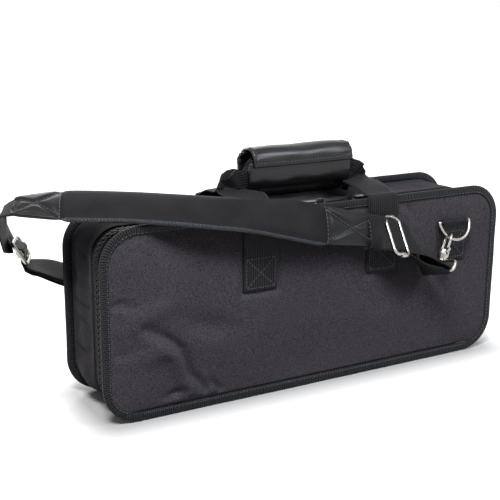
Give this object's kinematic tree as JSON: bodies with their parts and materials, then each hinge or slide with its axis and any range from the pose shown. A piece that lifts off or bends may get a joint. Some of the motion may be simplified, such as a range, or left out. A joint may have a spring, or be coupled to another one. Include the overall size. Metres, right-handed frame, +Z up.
{
  "type": "padded instrument gig bag",
  "caption": "Padded rectangular gig bag with zipped front lid, webbing handles with wrapped grip, and a padded shoulder strap on snap hooks.",
  "frame": {"origin": "centre of the base gusset's flat underside, on the ground the bag stands on", "axes": "+X along the bag to its right seen from the front, -Y out of the front lid, +Z up"},
  "size_m": [0.5736, 0.1976, 0.2571],
  "materials": {
    "shell_cloth": "matt coarse weave",
    "binding_tape": "ribbed, slightly shiny",
    "padding": "soft foam",
    "lining_cloth": "brushed",
    "zip_tape": "woven",
    "zip_coil": "satin",
    "webbing": "lengthwise ribs",
    "grip_leather": "glossy",
    "pad_leather": "smooth satin",
    "zip_metal": "black enamel",
    "plated_steel": "bright nickel plate"
  },
  "bodies": {
    "shell": {"back_panel_cover": "shell_cloth", "back_foam": "padding", "back_binding": "binding_tape", "base_binding": "binding_tape", "rear_gusset": "shell_cloth", "gusset_foam": "padding", "body_lining": "lining_cloth", "base_foam": "padding", "base_gusset": "shell_cloth", "base_lining": "lining_cloth", "zip_tape_rear": "zip_tape", "zip_teeth_rear": "zip_coil", "back_handle": "webbing", "grip_wrap": "grip_leather", "rear_ring_tab": "webbing", "shoulder_pad_cover": "pad_leather", "pad_foam": "padding", "rear_strap_web": "webbing", "rear_strap_loop": "webbing"},
    "lid": {"front_panel_cover": "shell_cloth", "front_foam": "padding", "front_binding": "binding_tape", "front_gusset_rim": "shell_cloth", "rim_foam": "padding", "lid_lining": "lining_cloth", "zip_tape_front": "zip_tape", "zip_teeth_front": "zip_coil", "front_handle": "webbing", "front_ring_tab": "webbing", "front_strap_web": "webbing", "front_strap_loop": "webbing"},
    "left_slider": {"left_zip_slider": "zip_metal"},
    "right_slider": {"right_zip_slider": "zip_metal"},
    "left_pull": {"left_pull_tab": "zip_metal"},
    "right_pull": {"right_pull_tab": "zip_metal"},
    "flap": {"grip_flap": "grip_leather"},
    "front_ring": {"front_d_ring": "plated_steel"},
    "front_hook": {"front_snap_hook": "plated_steel", "front_gate_pin": "plated_steel"},
    "front_gate": {"front_hook_gate": "plated_steel"},
    "front_eye": {"front_swivel_eye": "plated_steel"},
    "front_adjuster": {"front_adjuster_frame": "plated_steel"},
    "front_bar": {"front_adjuster_bar": "plated_steel"},
    "rear_ring": {"rear_d_ring": "plated_steel"},
    "rear_hook": {"rear_snap_hook": "plated_steel", "rear_gate_pin": "plated_steel"},
    "rear_gate": {"rear_hook_gate": "plated_steel"},
    "rear_eye": {"rear_swivel_eye": "plated_steel"},
    "rear_adjuster": {"rear_adjuster_frame": "plated_steel"},
    "rear_bar": {"rear_adjuster_bar": "plated_steel"}
  },
  "joints": [
    {"name": "lid_hinge", "type": "hinge", "parent": "shell", "child": "lid", "pos_m": [0, -0.052, 0.01], "axis": [1, 0, 0], "range_deg": [0, 65], "deforming": ["zip_teeth_front", "zip_teeth_rear", "zip_tape_front", "zip_tape_rear", "front_handle", "shoulder_pad_cover", "pad_foam", "front_strap_web", "front_strap_loop"]},
    {"name": "left_zip_slide", "type": "slide", "parent": "shell", "child": "left_slider", "axis": [1, 0, 0], "range_m": [-0.16, 0]},
    {"name": "right_zip_slide", "type": "slide", "parent": "shell", "child": "right_slider", "axis": [1, 0, 0], "range_m": [0, 0.14]},
    {"name": "left_pull_hinge", "type": "hinge", "parent": "left_slider", "child": "left_pull", "pos_m": [0.02, -0.0195, 0.1959], "axis": [0, 1, 0], "range_deg": [0, 110]},
    {"name": "right_pull_hinge", "type": "hinge", "parent": "right_slider", "child": "right_pull", "pos_m": [0.058, -0.0195, 0.1959], "axis": [0, -1, 0], "range_deg": [0, 110]},
    {"name": "grip_flap_hinge", "type": "hinge", "parent": "shell", "child": "flap", "pos_m": [0.003, 0.014, 0.2562], "axis": [-1, 0, 0], "range_deg": [0, 110]},
    {"name": "front_ring_hinge", "type": "hinge", "parent": "lid", "child": "front_ring", "pos_m": [0.18, -0.0557, 0.163], "axis": [-1, 0, 0], "range_deg": [0, 90], "deforming": ["front_strap_web", "front_strap_loop"]},
    {"name": "front_hook_swing", "type": "hinge", "parent": "front_ring", "child": "front_hook", "pos_m": [0.16706, -0.06241, 0.14719], "axis": [-0.7986, 0.2351, 0.554], "range_deg": [0, 60]},
    {"name": "front_gate_hinge", "type": "hinge", "parent": "front_hook", "child": "front_gate", "pos_m": [0.15408, -0.07287, 0.13292], "axis": [-0.7986, 0.2351, 0.554], "range_deg": [0, 20], "stiffness_Nm_per_rad": 0.01, "springref_deg": -17.19},
    {"name": "front_swivel", "type": "hinge", "parent": "front_hook", "child": "front_eye", "pos_m": [0.1483, -0.07314, 0.1247], "axis": [-0.6014, -0.344, -0.7211], "continuous": true},
    {"name": "rear_ring_hinge", "type": "hinge", "parent": "shell", "child": "rear_ring", "pos_m": [-0.18, 0.0557, 0.163], "axis": [1, 0, 0], "range_deg": [0, 90], "deforming": ["rear_strap_web", "rear_strap_loop"]},
    {"name": "rear_hook_swing", "type": "hinge", "parent": "rear_ring", "child": "rear_hook", "pos_m": [-0.19294, 0.06241, 0.14719], "axis": [0.7986, 0.2351, -0.554], "range_deg": [0, 60]},
    {"name": "rear_gate_hinge", "type": "hinge", "parent": "rear_hook", "child": "rear_gate", "pos_m": [-0.20592, 0.07287, 0.13292], "axis": [0.7986, 0.2351, -0.554], "range_deg": [0, 20], "stiffness_Nm_per_rad": 0.01, "springref_deg": -17.19},
    {"name": "rear_swivel", "type": "hinge", "parent": "rear_hook", "child": "rear_eye", "pos_m": [-0.2117, 0.07314, 0.1247], "axis": [-0.6014, 0.344, -0.7211], "continuous": true},
    {"name": "front_adjuster_slide", "type": "slide", "parent": "lid", "child": "front_adjuster", "axis": [0.9285, 0.2196, -0.2995], "range_m": [0, 0.008]},
    {"name": "front_bar_slide", "type": "slide", "parent": "front_adjuster", "child": "front_bar", "axis": [0.9285, 0.2196, -0.2995], "range_m": [-0.003, 0.003]},
    {"name": "rear_adjuster_slide", "type": "slide", "parent": "shell", "child": "rear_adjuster", "axis": [0.4698, -0.2399, -0.8496], "range_m": [0, 0.008]},
    {"name": "rear_bar_slide", "type": "slide", "parent": "rear_adjuster", "child": "rear_bar", "axis": [0.4698, -0.2399, -0.8496], "range_m": [-0.003, 0.003]}
  ]
}
